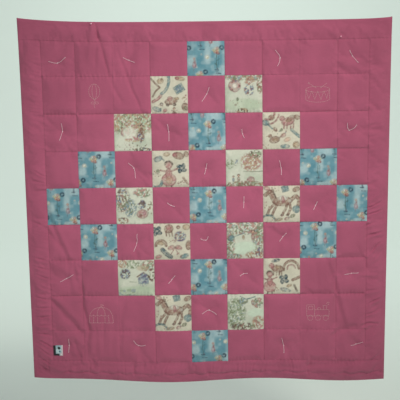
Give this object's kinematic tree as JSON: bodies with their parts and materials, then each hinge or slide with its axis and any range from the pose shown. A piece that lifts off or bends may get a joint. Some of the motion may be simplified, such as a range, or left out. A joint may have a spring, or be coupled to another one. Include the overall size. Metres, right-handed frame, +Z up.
{
  "type": "hanging patchwork quilt",
  "caption": "Tied patchwork quilt of square blocks in a diamond of prints, with plain borders, wadding, backing, a sewn label and hanging pins, hung flat.",
  "frame": {"origin": "on the flat back of the quilt, behind the middle of the centre square, where it lies against the wall", "axes": "+Z up, +X to the right seen from the front, +Y into the wall; the patchwork front looks along -Y"},
  "size_m": [1.0178, 0.0257, 1.0268],
  "materials": {
    "rose_cotton": "plain-weave cotton, matt, dusty rose",
    "sky_print_cotton": "printed cotton, cloudy teal ground with small figures",
    "toy_print_cotton": "printed cotton, cream ground with bold scattered toys and ribbons",
    "scene_print_cotton": "printed cotton, cream ground with small scenes in brown and rose",
    "wadding_polyester": "bonded polyester wadding, white",
    "motif_thread": "stranded cotton, pale rose, outline stitch",
    "tie_floss": "stranded cotton floss, off-white, knotted ties",
    "label_satin": "woven satin label, blue-grey with a navy edge",
    "pearl_plastic": "pearly pink ball",
    "pin_steel": "nickel-plated pin wire"
  },
  "bodies": {
    "root": {"backing": "rose_cotton", "border_bottom": "rose_cotton", "border_left": "rose_cotton", "border_right": "rose_cotton", "border_top": "rose_cotton", "label": "label_satin", "pin_head_left": "pearl_plastic", "pin_head_right": "pearl_plastic", "pin_shank_left": "pin_steel", "pin_shank_right": "pin_steel", "plain_field_bottom_left": "rose_cotton", "plain_field_bottom_right": "rose_cotton", "plain_field_top_left": "rose_cotton", "plain_field_top_right": "rose_cotton", "plain_r2c5": "rose_cotton", "plain_r3c4": "rose_cotton", "plain_r3c6": "rose_cotton", "plain_r4c3": "rose_cotton", "plain_r4c5": "rose_cotton", "plain_r4c7": "rose_cotton", "plain_r5c2": "rose_cotton", "plain_r5c4": "rose_cotton", "plain_r5c6": "rose_cotton", "plain_r5c8": "rose_cotton", "plain_r6c3": "rose_cotton", "plain_r6c5": "rose_cotton", "plain_r6c7": "rose_cotton", "plain_r7c4": "rose_cotton", "plain_r7c6": "rose_cotton", "plain_r8c5": "rose_cotton", "scene_print_r2c6": "scene_print_cotton", "scene_print_r3c3": "scene_print_cotton", "scene_print_r4c6": "scene_print_cotton", "scene_print_r5c3": "scene_print_cotton", "scene_print_r6c6": "scene_print_cotton", "scene_print_r7c3": "scene_print_cotton", "scene_print_r8c6": "scene_print_cotton", "sky_print_r1c5": "sky_print_cotton", "sky_print_r3c5": "sky_print_cotton", "sky_print_r4c2": "sky_print_cotton", "sky_print_r4c8": "sky_print_cotton", "sky_print_r5c1": "sky_print_cotton", "sky_print_r5c5": "sky_print_cotton", "sky_print_r5c9": "sky_print_cotton", "sky_print_r6c2": "sky_print_cotton", "sky_print_r6c8": "sky_print_cotton", "sky_print_r7c5": "sky_print_cotton", "sky_print_r9c5": "sky_print_cotton", "stitched_balloon": "motif_thread", "stitched_drum": "motif_thread", "stitched_engine": "motif_thread", "stitched_tent": "motif_thread", "toy_print_r2c4": "toy_print_cotton", "toy_print_r3c7": "toy_print_cotton", "toy_print_r4c4": "toy_print_cotton", "toy_print_r5c7": "toy_print_cotton", "toy_print_r6c4": "toy_print_cotton", "toy_print_r7c7": "toy_print_cotton", "toy_print_r8c4": "toy_print_cotton", "wadding": "wadding_polyester"}
  },
  "joints": []
}
